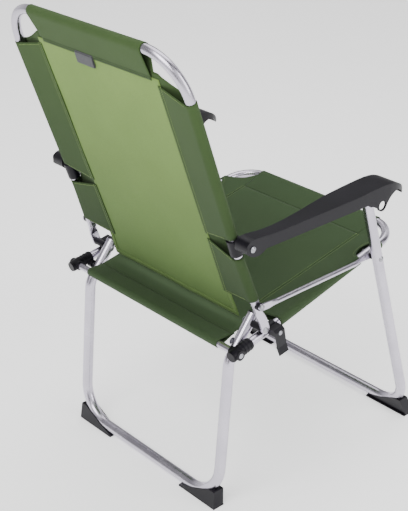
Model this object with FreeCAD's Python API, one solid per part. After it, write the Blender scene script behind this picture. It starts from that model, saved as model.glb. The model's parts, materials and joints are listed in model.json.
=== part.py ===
import FreeCAD, Part
import math
import os

# Folding camp chair, in millimetres.
# +Z is up, the sitter faces -Y, and the sitter's right hand is on the -X side.
# The origin is on the floor, midway between the front and the rear floor tubes.
# Pieces named "right" are on -X. Each is drawn there and mirrored for the left.

V = FreeCAD.Vector

# ---------------------------------------------------------------- driving sizes
LEG_R = 11.0            # both leg frames, 22 mm tube
SLING_R = 9.0           # backrest and seat frames, 18 mm tube
CROSS_R = 7.0           # rear cross tube, 14 mm
ROD_R = 5.0             # side links, 10 mm rod
WALL = 1.3
AXLE_Z = 14.0           # height of the floor tubes' axis: 11 mm radius on a 3 mm sole

FRONT_X = 251.6         # half widths, to the tube axes
REAR_X = 211.5
BACK_X = 237.0
BACK_END_X = 246.0
SEAT_FRONT_X = 220.0
SEAT_REAR_X = 242.0

LEG_BEND = 75.0
BACK_BEND = 80.0
SEAT_BEND = 62.0

FRONT_LEAN = math.radians(17.9)
BACK_LEAN = math.radians(19.3)
SEAT_SLOPE = math.atan(0.1926)
PARALLEL = 146.2        # link pivot to armrest pivot, equal on leg and backrest
ORIGIN_Y = 52.3         # middle of the chair's depth, in the y used below

# Pivots as (y, z)
SEAT_PIVOT = (-129.0, 430.0)
LINK_PIVOT = (203.0, 445.0)
LEG_PIVOT = (184.8, 388.0)
SEAT_LEG_PIVOT = (216.0, 354.0)
ARM_FRONT = (SEAT_PIVOT[0] + PARALLEL * math.sin(FRONT_LEAN),
             SEAT_PIVOT[1] + PARALLEL * math.cos(FRONT_LEAN))
ARM_REAR = (LINK_PIVOT[0] + PARALLEL * math.sin(FRONT_LEAN),
            LINK_PIVOT[1] + PARALLEL * math.cos(FRONT_LEAN))

# Rear leg corners as (y, z)
REAR_FOOT = (262.6, AXLE_Z)
REAR_ELBOW = (235.0, 324.5)
REAR_TOP_PAST = 17.0    # tube left above the pivot

BACK_TOP_U = 521.0      # along the backrest, from the link pivot to the top tube axis
SEAT_FRONT_Y = -226.2
CROSS_Y = 246.0

PIN_R = 3.0
PIN_FIT = 0.05
OPEN_FIT = 0.30
HEAD_R = 6.0
HEAD_H = 2.6

SLEEVE = 0.8            # cloth thickness round a tube
CLEAR = 0.3
PANEL = 1.6
BACK_SEAM_X = 168.0
SEAT_SEAM_X = 168.0
BAND = 70.0             # from a tube axis to its seam
WEDGE_FILL = 0.88       # where the two skins leave a tube, as a share of the sleeve's radius

PARTS = "parts"


# ---------------------------------------------------------------- helpers
def front_leg_point(x, along):
    """Point on the front leg plane, measured up the leg from the seat pivot."""
    return V(x, SEAT_PIVOT[0] + along * math.sin(FRONT_LEAN),
             SEAT_PIVOT[1] + along * math.cos(FRONT_LEAN))


def back_point(x, u, w=0.0):
    """Point on the backrest: u up from the link pivot, w out of its rear face."""
    return V(x, LINK_PIVOT[0] + u * math.sin(BACK_LEAN) + w * math.cos(BACK_LEAN),
             LINK_PIVOT[1] + u * math.cos(BACK_LEAN) - w * math.sin(BACK_LEAN))


def seat_point(x, s, w=0.0):
    """Point on the seat: s rearwards from the seat pivot, w out of its top face."""
    return V(x, SEAT_PIVOT[0] + s * math.cos(SEAT_SLOPE) + w * math.sin(SEAT_SLOPE),
             SEAT_PIVOT[1] - s * math.sin(SEAT_SLOPE) + w * math.cos(SEAT_SLOPE))


def seat_s(y):
    return (y - SEAT_PIVOT[0]) / math.cos(SEAT_SLOPE)


def seat_half_width(s):
    """Half width of the tapering seat frame at a distance s along it."""
    s_front = seat_s(SEAT_FRONT_Y)
    s_rear = seat_s(CROSS_Y)
    return SEAT_FRONT_X + (SEAT_REAR_X - SEAT_FRONT_X) * (s - s_front) / (s_rear - s_front)


def bent_wire(points, bends):
    """Straight runs through the points, joined by tangent arcs of the given radii."""
    edges = []
    start = points[0]
    for i in range(1, len(points) - 1):
        corner = points[i]
        back = (points[i - 1] - corner).normalize()
        ahead = (points[i + 1] - corner).normalize()
        half = back.getAngle(ahead) / 2.0
        cut = bends[i - 1] / math.tan(half)
        into = corner + back * cut
        out = corner + ahead * cut
        middle_dir = (back + ahead).normalize()
        centre = corner + middle_dir * (bends[i - 1] / math.sin(half))
        middle = centre - middle_dir * bends[i - 1]
        edges.append(Part.LineSegment(start, into).toShape())
        edges.append(Part.Arc(into, middle, out).toShape())
        start = out
    edges.append(Part.LineSegment(start, points[-1]).toShape())
    return Part.Wire(edges)


def sweep(points, bends, radius):
    path = bent_wire(points, bends)
    first = (points[1] - points[0]).normalize()
    ring = Part.Wire([Part.makeCircle(radius, points[0], first)])
    return path.makePipeShell([ring], True, False)


def tube(points, bends, radius, wall=WALL):
    return sweep(points, bends, radius).cut(sweep(points, bends, radius - wall))


def rod(a, b, radius):
    return Part.makeCylinder(radius, a.distanceToPoint(b), a, b - a)


def cross_rod(x0, x1, pivot, radius):
    """Cylinder along X through a (y, z) pivot."""
    return Part.makeCylinder(radius, abs(x1 - x0), V(min(x0, x1), pivot[0], pivot[1]), V(1, 0, 0))


def domed_head(x, pivot, outward, radius=HEAD_R, height=HEAD_H):
    """Low domed rivet head standing on the plane at x."""
    centre = V(x, pivot[0], pivot[1])
    away = V(outward, 0, 0)
    rim = Part.makeCylinder(radius, 0.3 * height, centre, away)
    crown = Part.makeCone(radius, 0.45 * radius, 0.7 * height, centre + away * (0.3 * height), away)
    return rim.fuse(crown).removeSplitter()


def mirror(shape):
    return shape.mirror(V(0, 0, 0), V(1, 0, 0))


def pair(shape):
    return Part.makeCompound([shape, mirror(shape)])


def polygon_prism(points, direction):
    """Closed straight outline, pushed along a direction."""
    face = Part.Face(Part.makePolygon(points + [points[0]]))
    return face.extrude(direction)


def stadium(to_point, x0, x1, start, end, half_width):
    """Flat lug with a round end: from start to end along it, between two x planes."""
    corners = [to_point(x0, start, -half_width), to_point(x0, end, -half_width),
               to_point(x0, end, half_width), to_point(x0, start, half_width)]
    body = polygon_prism(corners, V(x1 - x0, 0, 0))
    tip = Part.makeCylinder(half_width, abs(x1 - x0), to_point(min(x0, x1), end, 0), V(1, 0, 0))
    return body.fuse(tip)


def save(name, shape):
    """Writes one piece, moved so that the origin is midway between the chair's front and rear."""
    placed = shape.copy()
    placed.translate(V(0, -ORIGIN_Y, 0))
    placed.exportStep(os.path.join(PARTS, name + ".step"))


# ---------------------------------------------------------------- leg frames
FRONT_FOOT = (SEAT_PIVOT[0] - (SEAT_PIVOT[1] - AXLE_Z) * math.tan(FRONT_LEAN), AXLE_Z)


def front_leg_frame():
    top = PARALLEL + 13.0
    foot = -(SEAT_PIVOT[1] - AXLE_Z) / math.cos(FRONT_LEAN)
    points = [front_leg_point(-FRONT_X, top), front_leg_point(-FRONT_X, foot),
              front_leg_point(FRONT_X, foot), front_leg_point(FRONT_X, top)]
    frame = tube(points, [LEG_BEND, LEG_BEND], LEG_R)
    for pivot in (SEAT_PIVOT, ARM_FRONT):
        frame = frame.cut(cross_rod(-300, 300, pivot, PIN_R))
    return frame


def rear_leg_points():
    run = V(0, LEG_PIVOT[0] - REAR_ELBOW[0], LEG_PIVOT[1] - REAR_ELBOW[1]).normalize()
    top = V(0, LEG_PIVOT[0], LEG_PIVOT[1]) + run * REAR_TOP_PAST
    right = [V(-REAR_X, top.y, top.z), V(-REAR_X, *REAR_ELBOW), V(-REAR_X, *REAR_FOOT)]
    left = [V(-p.x, p.y, p.z) for p in reversed(right)]
    return right + left


def rear_leg_frame():
    frame = tube(rear_leg_points(), [45.0, LEG_BEND, LEG_BEND, 45.0], LEG_R)
    frame = frame.cut(cross_rod(-300, 300, LEG_PIVOT, PIN_R + PIN_FIT))
    return frame.cut(cross_rod(-300, 300, SEAT_LEG_PIVOT, 4.0 + PIN_FIT))


def rear_leg_plug():
    """Rounded plastic plug closing the open top of a rear leg."""
    points = rear_leg_points()
    top = points[0]
    run = (points[0] - points[1]).normalize()
    stem = rod(top - run * 6.0, top, LEG_R - WALL)
    cap = rod(top, top + run * 3.0, LEG_R)
    rim = [edge for edge in cap.Edges if edge.Curve.TypeId == "Part::GeomCircle"
           and edge.CenterOfMass.distanceToPoint(top + run * 3.0) < 0.5]
    return stem.fuse(cap.makeFillet(2.0, rim))


def foot(half_x, foot_yz, lean, sole_from, sole_to, height):
    """Moulded cradle under one bend: a flat sole, a low inner lip and a sloping outer end."""
    half_w = LEG_R + 1.8
    y = foot_yz[0]
    outline = [V(-sole_from, 0, 0), V(-sole_to, 0, 0), V(-(sole_to - 1), 0, 10),
               V(-(half_x + 1.0), 0, height), V(-(half_x - 14.0), 0, height),
               V(-(half_x - 62), 0, 17), V(-(sole_from + 12), 0, 9), V(-sole_from, 0, 4)]
    leaning = [p + V(0, y - half_w + math.tan(lean) * (p.z - AXLE_Z), 0) for p in outline]
    body = polygon_prism(leaning, V(0, 2 * half_w, 0))
    sole = Part.makeBox(sole_to - sole_from, 2 * half_w, 3.0, V(-sole_to, y - half_w, 0))
    return body.fuse(sole).common(Part.makeBox(400, 400, height, V(-400, y - 200, 0)))


FOOT_IN = 100.0         # reach of a foot inboard and outboard of the leg axis
FRONT_FOOT_OUT = 10.5
REAR_FOOT_OUT = 4.5


def front_foot():
    block = foot(FRONT_X, FRONT_FOOT, FRONT_LEAN, FRONT_X - FOOT_IN, FRONT_X + FRONT_FOOT_OUT, 40.0)
    along = -(SEAT_PIVOT[1] - AXLE_Z) / math.cos(FRONT_LEAN)
    points = [front_leg_point(-FRONT_X, 0), front_leg_point(-FRONT_X, along),
              front_leg_point(FRONT_X, along), front_leg_point(FRONT_X, 0)]
    return block.cut(sweep(points, [LEG_BEND, LEG_BEND], LEG_R + 0.1))


def rear_foot():
    lean = math.atan((REAR_ELBOW[0] - REAR_FOOT[0]) / (REAR_ELBOW[1] - REAR_FOOT[1]))
    block = foot(REAR_X, REAR_FOOT, lean, REAR_X - FOOT_IN, REAR_X + REAR_FOOT_OUT, 38.0)
    points = [V(-REAR_X, *REAR_ELBOW), V(-REAR_X, *REAR_FOOT),
              V(REAR_X, *REAR_FOOT), V(REAR_X, *REAR_ELBOW)]
    return block.cut(sweep(points, [LEG_BEND, LEG_BEND], LEG_R + 0.1))


def front_link_spacer():
    """Plastic washer between the side link and the inner face of the front leg."""
    inner = FRONT_X - LEG_R - 0.1
    ring = cross_rod(-inner, -(inner - 2.4), SEAT_PIVOT, 8.0)
    saddle = rod(front_leg_point(-FRONT_X, -30), front_leg_point(-FRONT_X, 30), LEG_R + 0.05)
    hole = cross_rod(-300, 0, SEAT_PIVOT, PIN_R)
    return ring.cut(saddle).cut(hole)


def front_leg_stub(pivot_along):
    """Solid stretch of the front leg tube, for trimming what is seated against it."""
    return rod(front_leg_point(-FRONT_X, pivot_along - 30), front_leg_point(-FRONT_X, pivot_along + 30), LEG_R)


def seat_pivot_bolt():
    """Bolt through the front leg and the side link. It stops at the seat tube."""
    outer = FRONT_X + LEG_R - 1.2
    inner = seat_half_width(0.0) + SLING_R + OPEN_FIT
    head = domed_head(-outer, SEAT_PIVOT, -1, HEAD_R, 3.8).cut(front_leg_stub(0.0))
    return cross_rod(-outer, -inner, SEAT_PIVOT, PIN_R).fuse(head)


def seat_pivot_nut():
    """Inner end of the seat pivot, closed through the seat tube."""
    middle = seat_half_width(0.0)
    inner = middle - SLING_R + 0.9
    head = domed_head(-inner, SEAT_PIVOT, 1, 5.0, 3.0).cut(sweep(seat_path(), SEAT_BENDS, SLING_R))
    return cross_rod(-(middle + SLING_R - 0.2), -inner, SEAT_PIVOT, PIN_R).fuse(head)


def armrest_front_rivet():
    outer = FRONT_X + LEG_R + 5.2
    inner = FRONT_X - LEG_R + 1.2
    head = domed_head(-inner, ARM_FRONT, 1, 5.0, 3.4).cut(front_leg_stub(PARALLEL))
    shank = cross_rod(-outer, -inner, ARM_FRONT, PIN_R)
    return shank.fuse([domed_head(-outer, ARM_FRONT, -1), head])


# ---------------------------------------------------------------- side links
LINK_FRONT_X = 236.2
LINK_REAR_X = 261.0
LINK_T = 3.4


def side_link():
    """Round rod with a flattened, drilled eye at each end."""
    front = V(-LINK_FRONT_X, *SEAT_PIVOT)
    rear = V(-LINK_REAR_X, *LINK_PIVOT)
    run = V(0, rear.y - front.y, rear.z - front.z).normalize()
    across = V(0, -run.z, run.y)
    rod_start = front + run * 56 + V(-8.0, 0, 0)
    rod_end = rear - run * 40 + V(1.5, 0, 0)
    shape = rod(rod_start, rod_end, ROD_R)
    for eye, sense, mouth in ((front, 1, rod_start), (rear, -1, rod_end)):
        neck = eye + run * (18 * sense)
        plate = polygon_prism([eye + across * 6.5, neck + across * 6.5,
                               neck - across * 6.5, eye - across * 6.5], V(LINK_T, 0, 0))
        plate.translate(V(-LINK_T / 2, 0, 0))
        ring = Part.makeCylinder(6.5, LINK_T, eye - V(LINK_T / 2, 0, 0), V(1, 0, 0))
        half = V(LINK_T / 2, 0, 0)
        flat = Part.makePolygon([neck + across * 6.5 + half, neck + across * 6.5 - half,
                                 neck - across * 6.5 - half, neck - across * 6.5 + half,
                                 neck + across * 6.5 + half])
        circle = Part.Wire([Part.makeCircle(ROD_R, mouth, (rod_end - rod_start).normalize())])
        shape = shape.fuse([plate, ring, Part.makeLoft([flat, circle], True)])
    shape = shape.cut(cross_rod(-300, 0, SEAT_PIVOT, PIN_R + PIN_FIT))
    return shape.cut(cross_rod(-300, 0, LINK_PIVOT, PIN_R + PIN_FIT))


# ---------------------------------------------------------------- backrest
BACK_KINK_U = 95.0
BACK_ROUND_U = -14.0    # the tube is round down to here, then flattened
BACK_FLAT_U = -38.0
PLATE_X0 = 250.4
PLATE_X1 = 255.0
LEG_PIVOT_U = ((LEG_PIVOT[0] - LINK_PIVOT[0]) * math.sin(BACK_LEAN)
               + (LEG_PIVOT[1] - LINK_PIVOT[1]) * math.cos(BACK_LEAN))


def back_path(lower_u):
    return [back_point(-BACK_END_X, lower_u), back_point(-BACK_X, BACK_KINK_U),
            back_point(-BACK_X, BACK_TOP_U), back_point(BACK_X, BACK_TOP_U),
            back_point(BACK_X, BACK_KINK_U), back_point(BACK_END_X, lower_u)]


BACK_BENDS = [150.0, BACK_BEND, BACK_BEND, 150.0]


def back_end_plate():
    """Flattened lower end of the backrest tube, with its eye for the rear leg pivot."""
    plate = stadium(back_point, -PLATE_X1, -PLATE_X0, BACK_FLAT_U, LEG_PIVOT_U, 9.0)
    flat = Part.makePolygon([back_point(-PLATE_X1, BACK_FLAT_U, -9), back_point(-PLATE_X1, BACK_FLAT_U, 9),
                             back_point(-PLATE_X0, BACK_FLAT_U, 9), back_point(-PLATE_X0, BACK_FLAT_U, -9),
                             back_point(-PLATE_X1, BACK_FLAT_U, -9)])
    path = back_path(BACK_ROUND_U)
    circle = Part.Wire([Part.makeCircle(SLING_R, path[0], (path[1] - path[0]).normalize())])
    return plate.fuse(Part.makeLoft([flat, circle], True))


def backrest_frame():
    frame = tube(back_path(BACK_ROUND_U), BACK_BENDS, SLING_R)
    end = back_end_plate()
    frame = frame.fuse([end, mirror(end)])
    frame = frame.cut(cross_rod(-300, 300, LINK_PIVOT, PIN_R))
    return frame.cut(cross_rod(-300, 300, LEG_PIVOT, PIN_R))


def link_spacer():
    """Barrel that holds the side link off the backrest tube."""
    barrel = cross_rod(-(LINK_REAR_X - LINK_T / 2 - 0.2), -(BACK_END_X - 1.0), LINK_PIVOT, 7.5)
    path = back_path(BACK_ROUND_U)
    barrel = barrel.cut(sweep(path, BACK_BENDS, SLING_R + 0.05))
    barrel = barrel.cut(cross_rod(-300, 0, LINK_PIVOT, PIN_R))
    outer = [s for s in barrel.Solids if s.CenterOfMass.x < -BACK_END_X - 5]
    return outer[0]


def link_rivet():
    outer = LINK_REAR_X + LINK_T / 2 + 0.2
    inner = BACK_END_X - SLING_R - 1.4
    shank = cross_rod(-outer, -inner, LINK_PIVOT, PIN_R)
    return shank.fuse(domed_head(-outer, LINK_PIVOT, -1)).fuse(domed_head(-inner, LINK_PIVOT, 1, 4.5, 2.0))


def leg_pivot_spacer():
    """Sleeve that holds the rear leg inboard of the backrest's end plate."""
    sleeve = cross_rod(-PLATE_X0, -(REAR_X + LEG_R + 0.3), LEG_PIVOT, 7.0)
    return sleeve.cut(cross_rod(-300, 0, LEG_PIVOT, PIN_R))


def leg_pivot_rivet():
    """Rivet through the backrest's end plate, the spacer and the rear leg."""
    inner = REAR_X - LEG_R - 0.3
    shank = cross_rod(-PLATE_X1, -inner, LEG_PIVOT, PIN_R)
    return shank.fuse([domed_head(-PLATE_X1, LEG_PIVOT, -1), domed_head(-inner, LEG_PIVOT, 1)])


ARM_REAR_U = ((ARM_REAR[0] - LINK_PIVOT[0]) * math.sin(BACK_LEAN)
              + (ARM_REAR[1] - LINK_PIVOT[1]) * math.cos(BACK_LEAN))
CLAMP_X = 250.0
ARM_INNER_X = 251.0


def armrest_clamp():
    """Plastic saddle gripping the backrest tube, with a boss for the armrest pin."""
    middle = ARM_REAR_U - 9.0
    collar = rod(back_point(-BACK_X, middle - 17), back_point(-BACK_X, middle + 17), SLING_R + 3.4)
    boss = cross_rod(-CLAMP_X, -(BACK_X - 4), ARM_REAR, 9.0)
    clamp = collar.fuse(boss)
    clamp = clamp.cut(Part.makeBox(40, 200, 200, V(-CLAMP_X - 40, 180, 480)))
    bore = rod(back_point(-BACK_X, middle - 60), back_point(-BACK_X, middle + 60), SLING_R + 0.05)
    return clamp.cut(bore).cut(cross_rod(-300, 0, ARM_REAR, PIN_R))


def armrest_rear_rivet():
    outer = ARM_OUTER_X + 0.3
    shank = cross_rod(-outer, -(BACK_X + SLING_R + 0.4), ARM_REAR, PIN_R)
    return shank.fuse(domed_head(-outer, ARM_REAR, -1))


# ---------------------------------------------------------------- armrests
ARM_OUTER_X = 282.0
ARM_SHELL = 3.6


def armrest_side():
    """Side outline of the armrest: flat top, drooping tip, pivot lug and rear skirt."""
    top = Part.BSplineCurve()
    top.interpolate([V(0, 266, 586), V(0, 258, 597.5), V(0, 225, 600.5), V(0, 90, 601.5), V(0, -25, 605),
                     V(0, -85, 609), V(0, -125, 604), V(0, -152, 587), V(0, -162, 573)])
    nose = Part.LineSegment(V(0, -162, 573), V(0, -156, 571)).toShape()
    under = Part.BSplineCurve()
    under.interpolate([V(0, -156, 571), V(0, -138, 586), V(0, -120, 588), V(0, -103, 577),
                       V(0, ARM_FRONT[0] - 11, ARM_FRONT[1] - 4)])
    lug = Part.Arc(V(0, ARM_FRONT[0] - 11, ARM_FRONT[1] - 4), V(0, ARM_FRONT[0], ARM_FRONT[1] - 11.7),
                   V(0, ARM_FRONT[0] + 11, ARM_FRONT[1] - 4)).toShape()
    rise = Part.LineSegment(V(0, ARM_FRONT[0] + 11, ARM_FRONT[1] - 4), V(0, -46, 580)).toShape()
    skirt = Part.LineSegment(V(0, -46, 580), V(0, 215, 575)).toShape()
    rear = Part.Arc(V(0, 215, 575), V(0, 254, 572.5), V(0, 266, 586)).toShape()
    return Part.Wire([top.toShape(), nose, under.toShape(), lug, rise, skirt, rear])


def armrest_plan(inset):
    """Plan outline on the right: narrow at the backrest, wide at the hand, rounded tip."""
    inner = Part.BSplineCurve()
    inner.interpolate([V(-(ARM_INNER_X + inset), 262 - inset, 0), V(-(ARM_INNER_X + inset), 130, 0),
                       V(-(ARM_INNER_X - 7 + inset), 70, 0), V(-(235.6 + inset), 15, 0),
                       V(-(235.6 + inset), -95, 0), V(-(239 + inset), -135, 0),
                       V(-(252 + inset), -160 + inset, 0)])
    tip = Part.LineSegment(V(-(252 + inset), -160 + inset, 0), V(-(276 - inset), -160 + inset, 0)).toShape()
    outer = Part.BSplineCurve()
    outer.interpolate([V(-(276 - inset), -160 + inset, 0), V(-(289 - inset), -130, 0),
                       V(-(291 - inset), -80, 0), V(-(289 - inset), -10, 0), V(-(285 - inset), 100, 0),
                       V(-(ARM_OUTER_X - inset), 180, 0), V(-(ARM_OUTER_X - inset), 262 - inset, 0)])
    end = Part.LineSegment(V(-(ARM_OUTER_X - inset), 262 - inset, 0),
                           V(-(ARM_INNER_X + inset), 262 - inset, 0)).toShape()
    return Part.Face(Part.Wire([inner.toShape(), tip, outer.toShape(), end]))


def armrest():
    outside = armrest_plan(0.0).extrude(V(0, 0, 200))
    outside.translate(V(0, 0, 500))
    side = Part.Face(armrest_side()).extrude(V(-80, 0, 0))
    side.translate(V(-225, 0, 0))
    block = outside.common(side)
    hollow = armrest_plan(ARM_SHELL).extrude(V(0, 0, 200))
    hollow.translate(V(0, 0, 500))
    lowered = side.copy()
    lowered.translate(V(0, 0, -4.0))
    below = Part.makeBox(90, 460, 80, V(-300, -170, 500))
    cavity = hollow.common(lowered.fuse(below.common(Part.makeBox(90, 405, 86, V(-300, -140, 500)))))
    shell = block.cut(cavity)
    lug_outer = FRONT_X + LEG_R + 5.0
    lug = cross_rod(-lug_outer, -(FRONT_X + LEG_R + 0.5), ARM_FRONT, 11.4)
    web = Part.makeBox(4.5, 50, 34, V(-lug_outer, ARM_FRONT[0] - 11, ARM_FRONT[1]))
    shell = shell.fuse([lug, web.common(block)])
    leg_room = rod(front_leg_point(-FRONT_X, PARALLEL - 60), front_leg_point(-FRONT_X, PARALLEL + 14), LEG_R + 0.6)
    shell = shell.cut(leg_room)
    shell = shell.cut(cross_rod(-lug_outer - 1, 0, ARM_FRONT, PIN_R + OPEN_FIT))
    counter = cross_rod(-300, -lug_outer, ARM_FRONT, HEAD_R + 3.0)
    shell = shell.cut(counter)
    return shell.cut(cross_rod(-300, 0, ARM_REAR, PIN_R + OPEN_FIT))


# ---------------------------------------------------------------- seat
def seat_path(extra=0.0):
    s_front = seat_s(SEAT_FRONT_Y)
    s_rear = seat_s(CROSS_Y) - 10.0 + extra
    return [seat_point(-seat_half_width(s_rear), s_rear), seat_point(-SEAT_FRONT_X, s_front),
            seat_point(SEAT_FRONT_X, s_front), seat_point(seat_half_width(s_rear), s_rear)]


SEAT_BENDS = [SEAT_BEND, SEAT_BEND]
CROSS_AXIS = (seat_point(0, seat_s(CROSS_Y)).y, seat_point(0, seat_s(CROSS_Y)).z)


def seat_frame():
    return tube(seat_path(), SEAT_BENDS, SLING_R).cut(cross_rod(-300, 300, SEAT_PIVOT, PIN_R))


def rear_cross_tube():
    solid = cross_rod(-246, 246, CROSS_AXIS, CROSS_R)
    return solid.cut(cross_rod(-246, 246, CROSS_AXIS, CROSS_R - WALL))


FITTING_FROM = 36.0     # along the seat tube, ahead of the cross tube


def rear_fitting():
    """Ribbed plastic end joining seat tube and cross tube, with the boss for the rear leg pin."""
    s_cross = seat_s(CROSS_Y)
    start = seat_point(-seat_half_width(s_cross - FITTING_FROM), s_cross - FITTING_FROM)
    end = seat_point(-seat_half_width(s_cross + 12), s_cross + 12)
    run = (end - start).normalize()
    body = rod(start, end, SLING_R + 2.4)
    for step in (3.0, 11.0, 19.0, 27.0):
        body = body.fuse(rod(start + run * step, start + run * (step + 3.0), SLING_R + 3.4))
    cap = rod(end, end + run * 3.0, SLING_R + 1.2)
    socket = cross_rod(-255.0, -229.0, CROSS_AXIS, CROSS_R + 2.6)
    boss = cross_rod(-(SEAT_REAR_X - 6), -(REAR_X + LEG_R + 0.3), SEAT_LEG_PIVOT, 8.5)
    fitting = body.fuse([cap, socket, boss])
    fitting = fitting.cut(sweep(seat_path(), SEAT_BENDS, SLING_R + 0.05))
    fitting = fitting.cut(cross_rod(-246.1, 0, CROSS_AXIS, CROSS_R + 0.05))
    fitting = fitting.cut(cross_rod(-256, 0, CROSS_AXIS, 2.5))
    return fitting.cut(cross_rod(-(SEAT_REAR_X - 5), 0, SEAT_LEG_PIVOT, 4.0))


def seat_leg_pin():
    """Pin of the rear leg pivot, held in the boss and headed inside the leg."""
    inner = REAR_X - LEG_R - 0.3
    outer = SEAT_REAR_X - SLING_R - 3.0
    shank = cross_rod(-outer, -inner, SEAT_LEG_PIVOT, 4.0)
    pin = shank.fuse(domed_head(-inner, SEAT_LEG_PIVOT, 1, 7.0, 3.0))
    return pin.cut(sweep(seat_path(), SEAT_BENDS, SLING_R))


def cross_tube_screw():
    shank = cross_rod(-255.0, -246.2, CROSS_AXIS, 2.5)
    return shank.fuse(domed_head(-255.0, CROSS_AXIS, -1, 5.0, 2.4))


CLIP_S = seat_s(157.0)


def transport_clip():
    """Snap clip over the seat tube. Its finger grips the front leg when the chair is folded."""
    x_tube = seat_half_width(CLIP_S)
    half = 11.5
    x_in = x_tube + SLING_R + 0.1
    x_finger = FRONT_X + LEG_R + 1.0
    saddle = rod(seat_point(-x_tube, CLIP_S - half), seat_point(-x_tube, CLIP_S + half), SLING_R + 3.0)
    top_half = polygon_prism([seat_point(-x_tube + 9, CLIP_S - half, -4), seat_point(-x_tube + 9, CLIP_S - half, 16),
                              seat_point(-x_tube - 13, CLIP_S - half, 16),
                              seat_point(-x_tube - 13, CLIP_S - half, -4)],
                             seat_point(0, 2 * half) - seat_point(0, 0))
    saddle = saddle.common(top_half)
    outline = [(x_in, -3.0), (x_in, 11.0), (x_finger - 2.0, 11.0), (x_finger + 3.4, 6.0),
               (x_finger + 3.4, -28.0), (x_finger + 6.8, -44.0), (x_finger + 4.4, -45.5),
               (x_finger + 0.2, -31.0), (x_finger - 1.6, -28.5), (x_finger, -25.0), (x_finger, -3.0)]
    hook = polygon_prism([seat_point(-x, CLIP_S - half, w) for x, w in outline],
                         seat_point(0, 2 * half) - seat_point(0, 0))
    clip = saddle.fuse(hook)
    clip = clip.cut(sweep(seat_path(), SEAT_BENDS, SLING_R + 0.05))
    pivot = seat_point(0, CLIP_S, 2.0)
    return clip.cut(cross_rod(-300, 0, (pivot.y, pivot.z), 2.5))


def clip_rivet():
    x_tube = seat_half_width(CLIP_S)
    pivot = seat_point(0, CLIP_S, 2.0)
    axis = (pivot.y, pivot.z)
    outer = FRONT_X + LEG_R + 4.4
    shank = cross_rod(-outer, -(x_tube + SLING_R - 0.2), axis, 2.5)
    shank = shank.cut(sweep(seat_path(), SEAT_BENDS, SLING_R))
    outer_part = [s for s in shank.Solids if s.CenterOfMass.x < -x_tube]
    return outer_part[0].fuse(domed_head(-outer, axis, -1, 4.6, 2.2))


# ---------------------------------------------------------------- slings
def slab(to_point, corners, thickness):
    """Flat cloth panel: outline corners as (x, along), with a thickness."""
    lower = [to_point(x, a, -thickness / 2) for x, a in corners]
    push = to_point(0, 0, thickness / 2) - to_point(0, 0, -thickness / 2)
    return polygon_prism(lower, push)


def wedge_section(to_point, along, seam_x, tube_x, seam_half, tube_half):
    return Part.makePolygon([to_point(-seam_x, along, -seam_half), to_point(-tube_x, along, -tube_half),
                             to_point(-tube_x, along, tube_half), to_point(-seam_x, along, seam_half),
                             to_point(-seam_x, along, -seam_half)])


def hem_wedge(to_point, along0, along1, seam_x, tube_x0, tube_x1, radius):
    """Two cloth skins between a seam and a tube, from along0 to along1."""
    outer_h = WEDGE_FILL * radius
    inner_h = outer_h - SLEEVE
    outer = Part.makeLoft([wedge_section(to_point, along0, seam_x, tube_x0, PANEL / 2, outer_h),
                           wedge_section(to_point, along1, seam_x, tube_x1, PANEL / 2, outer_h)], True)
    low, high = along0 - 1, along1 + 1
    inner = Part.makeLoft([wedge_section(to_point, low, seam_x + 8, tube_x0, 0.2, inner_h),
                           wedge_section(to_point, high, seam_x + 8, tube_x1, 0.2, inner_h)], True)
    return outer.cut(inner)


def band_wedge(to_point, half_x, tube_at, seam_at, radius):
    """Two cloth skins between a cross-going tube and its seam."""
    def prism(x, seam, seam_half, tube_half):
        outline = [to_point(-x, seam, -seam_half), to_point(-x, tube_at, -tube_half),
                   to_point(-x, tube_at, tube_half), to_point(-x, seam, seam_half)]
        return polygon_prism(outline, V(2 * x, 0, 0))

    toward = math.copysign(8.0, tube_at - seam_at)
    outer_h = WEDGE_FILL * radius
    return prism(half_x, seam_at, PANEL / 2, outer_h).cut(
        prism(half_x + 1, seam_at + toward, 0.2, outer_h - SLEEVE))


def slice_along(to_point, shape, start, end, x0, x1):
    """Keep the stretch of a sleeve between two stations and two x planes."""
    box = polygon_prism([to_point(x0, start, -30), to_point(x0, end, -30),
                         to_point(x0, end, 30), to_point(x0, start, 30)], V(x1 - x0, 0, 0))
    return shape.common(box)


BACK_SLEEVE_FROM = 14.0
BACK_SLEEVE_TO = BACK_TOP_U - BACK_BEND - 2.0
BACK_NOTCH = (ARM_REAR_U - 36.0, ARM_REAR_U + 16.0)
BACK_PANEL_FROM = -60.0
BACK_BAND_X = 156.0


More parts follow.
